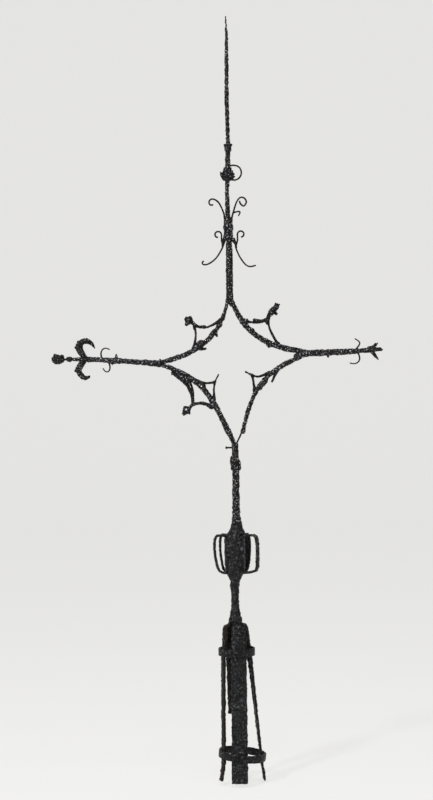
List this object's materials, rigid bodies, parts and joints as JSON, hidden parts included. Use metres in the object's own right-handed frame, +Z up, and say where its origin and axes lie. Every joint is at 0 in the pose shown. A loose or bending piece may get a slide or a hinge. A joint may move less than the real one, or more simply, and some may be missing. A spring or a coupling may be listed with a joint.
{
  "type": "wrought iron cross",
  "caption": "Weathered wrought iron cross: an open diamond of forged bars with side arms, scrolls and tendrils under a long spike, above a rough knob and a strap socket for a post.",
  "frame": {"origin": "on the cross's axis at the mouth of the strap socket, level with the lowest end of its straps", "axes": "+Z up along the mast, +X to the cross's right as seen from the front, and -Y towards the front, where the widest strap is"},
  "size_m": [0.876, 0.125, 2.028],
  "materials": {
    "black_iron": "hammered and pitted iron under old glossy black paint, with blue-grey glints and traces of rust",
    "worn_iron": "thin wires with the black paint worn through to dark brown rust"
  },
  "bodies": {
    "root": {"mast": "black_iron", "mast_knop": "black_iron", "mast_flower": "black_iron", "mast_loop": "worn_iron", "scroll_binding": "black_iron", "mast_scroll_upper_left": "worn_iron", "mast_scroll_upper_right": "worn_iron", "mast_scroll_lower_left": "worn_iron", "mast_scroll_lower_right": "worn_iron", "mast_curl_left": "worn_iron", "mast_curl_right": "worn_iron", "mast_twig": "worn_iron", "bar_upper_left": "black_iron", "bar_upper_right": "black_iron", "bar_lower_left": "black_iron", "bar_lower_right": "black_iron", "bar_link": "worn_iron", "tendril_upper_left_inner": "black_iron", "tendril_upper_left_outer": "black_iron", "bud_upper_left": "black_iron", "tendril_upper_right_inner": "black_iron", "tendril_upper_right_outer": "black_iron", "bud_upper_right": "black_iron", "tendril_lower_left_outer": "black_iron", "tendril_lower_left_inner": "black_iron", "bud_lower_left": "black_iron", "twig_lower_left_upper": "black_iron", "twig_lower_left_lower": "black_iron", "twig_lower_right_upper": "black_iron", "twig_lower_right_lower": "black_iron", "stub_lower_right": "black_iron", "stub_upper_left": "black_iron", "left_arm": "black_iron", "left_arm_scroll_upper": "worn_iron", "left_arm_scroll_lower": "worn_iron", "left_leaf_upper": "black_iron", "left_leaf_lower": "black_iron", "left_arm_bead": "black_iron", "left_end_bud": "black_iron", "right_arm": "black_iron", "right_arm_scroll_upper": "worn_iron", "right_arm_scroll_lower": "worn_iron", "right_flower": "black_iron", "shaft": "black_iron", "shaft_collar": "black_iron", "shaft_pin": "black_iron", "knob": "black_iron", "handle_left": "black_iron", "handle_back_left": "black_iron", "handle_back_right": "black_iron", "handle_right": "black_iron", "neck": "black_iron", "strap_front": "black_iron", "strap_left": "black_iron", "strap_right": "black_iron", "strap_back": "black_iron", "hoop_upper": "black_iron", "hoop_lower": "black_iron"}
  },
  "joints": []
}
